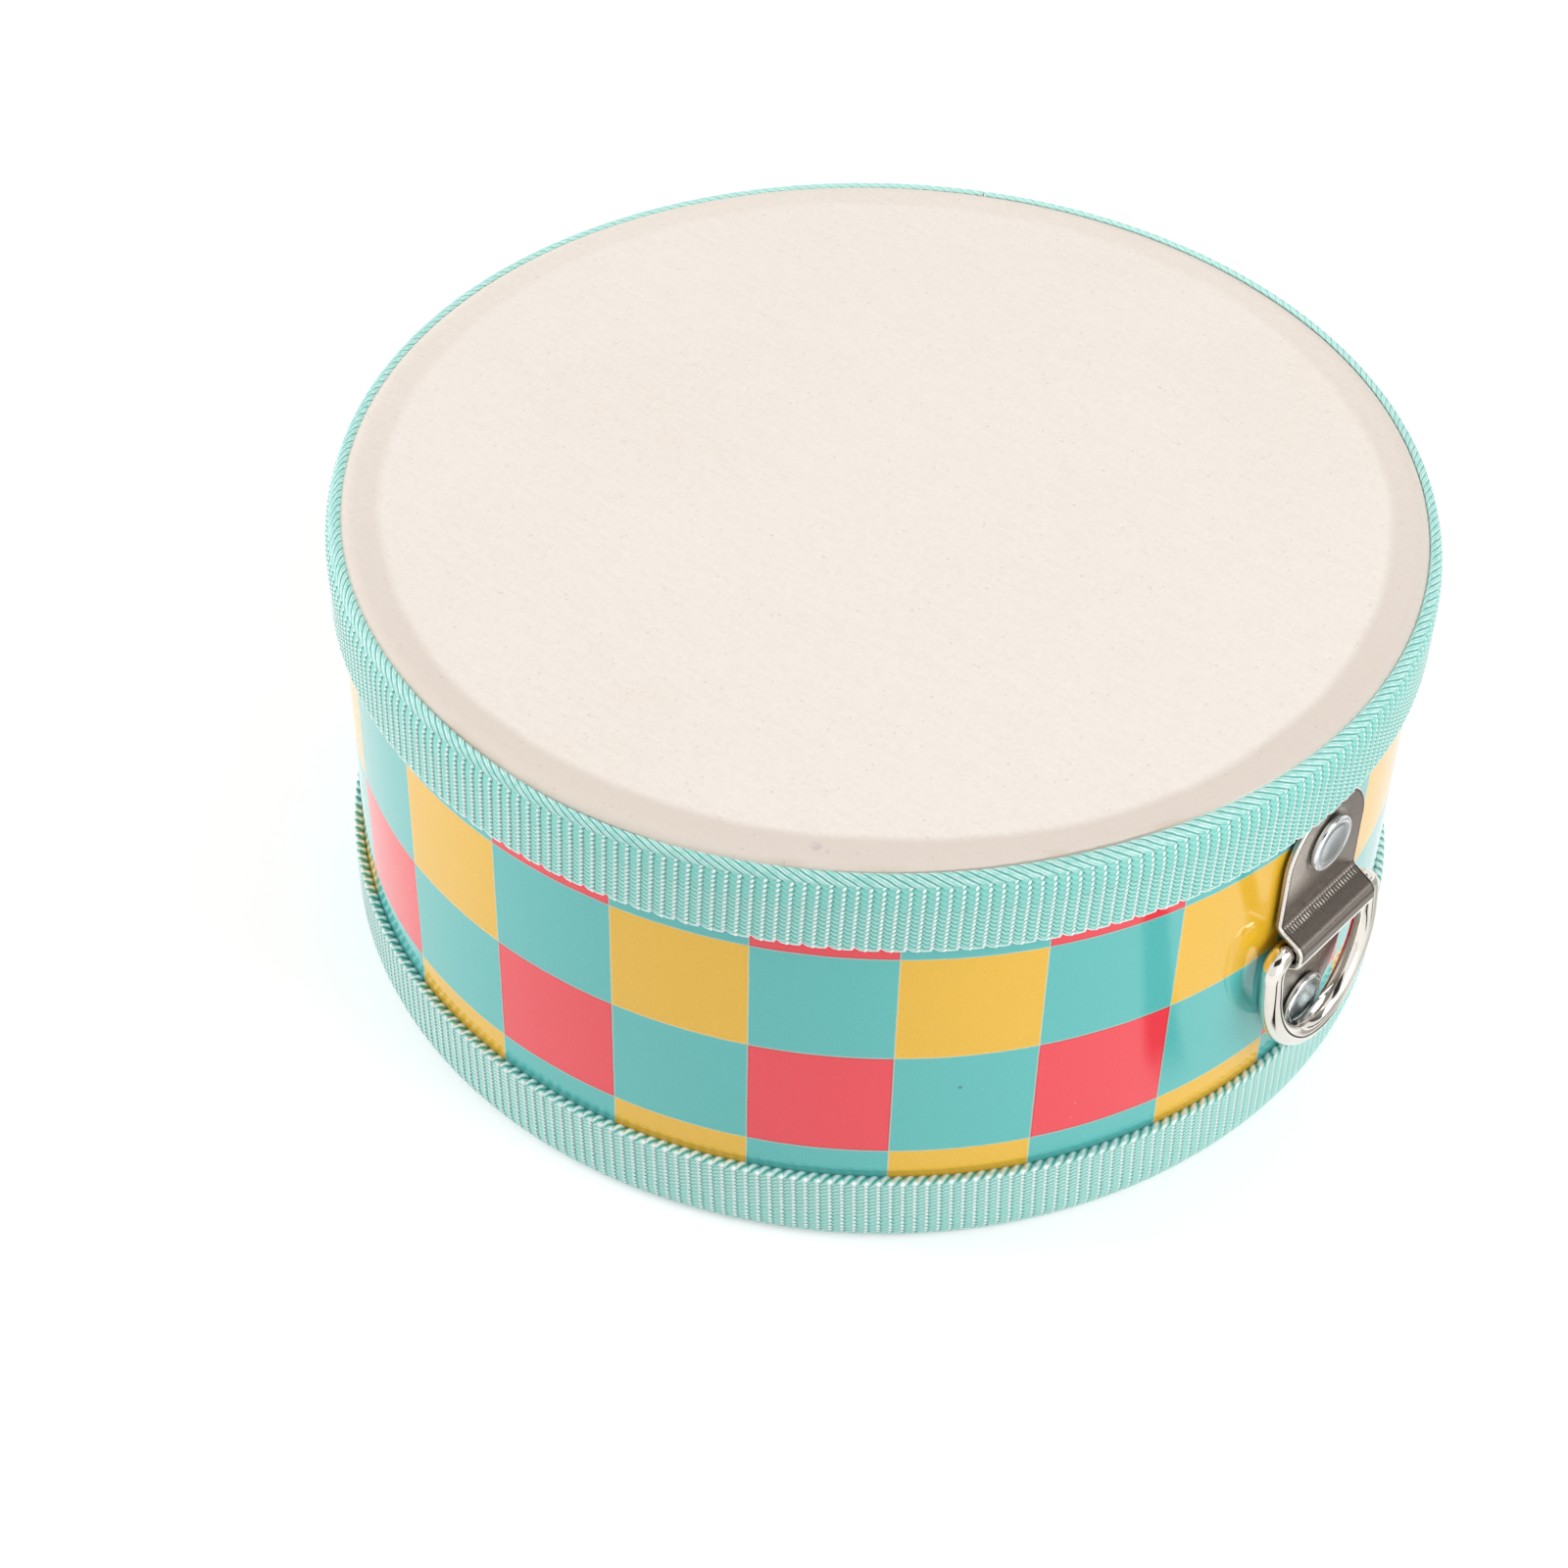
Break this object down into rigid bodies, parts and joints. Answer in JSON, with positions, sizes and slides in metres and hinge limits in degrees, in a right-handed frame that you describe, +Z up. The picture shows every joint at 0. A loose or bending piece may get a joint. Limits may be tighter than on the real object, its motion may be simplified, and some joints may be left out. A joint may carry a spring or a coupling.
{
  "type": "hand drum",
  "caption": "Shallow round hand drum with hide heads on both faces, woven edge bands, a check-patterned wrap and riveted strap hangers that hold swinging D-rings.",
  "frame": {"origin": "centre of the lower head's outer face, where the drum stands on it", "axes": "+Z up along the drum's axis towards the upper head; +X through the right strap hanger, -X through the left one"},
  "size_m": [0.1606, 0.1528, 0.0687],
  "materials": {
    "shell_wood": "satin",
    "wrap_film": "gloss",
    "head_hide": "matte",
    "edge_webbing": "matte",
    "hanger_nickel": "satin",
    "ring_nickel": "polished",
    "rivet_steel": "satin",
    "washer_steel": "satin"
  },
  "bodies": {
    "drum": {"shell": "shell_wood", "wrap": "wrap_film", "head_top": "head_hide", "head_bottom": "head_hide", "webbing_top": "edge_webbing", "webbing_bottom": "edge_webbing", "hanger_plate_right": "hanger_nickel", "hanger_plate_left": "hanger_nickel", "rivet_upper_right": "rivet_steel", "rivet_upper_left": "rivet_steel", "rivet_lower_right": "rivet_steel", "rivet_lower_left": "rivet_steel", "washer_upper_right": "washer_steel", "washer_upper_left": "washer_steel", "washer_lower_right": "washer_steel", "washer_lower_left": "washer_steel"},
    "ring_right": {"d_ring_right": "ring_nickel"},
    "ring_left": {"d_ring_left": "ring_nickel"}
  },
  "joints": [
    {"name": "ring_right_swing", "type": "hinge", "parent": "drum", "child": "ring_right", "pos_m": [0.07725, 0, 0.0372], "axis": [0, -1, 0], "range_deg": [0, 172]},
    {"name": "ring_left_swing", "type": "hinge", "parent": "drum", "child": "ring_left", "pos_m": [-0.07725, 0, 0.0372], "axis": [0, 1, 0], "range_deg": [0, 172]}
  ]
}
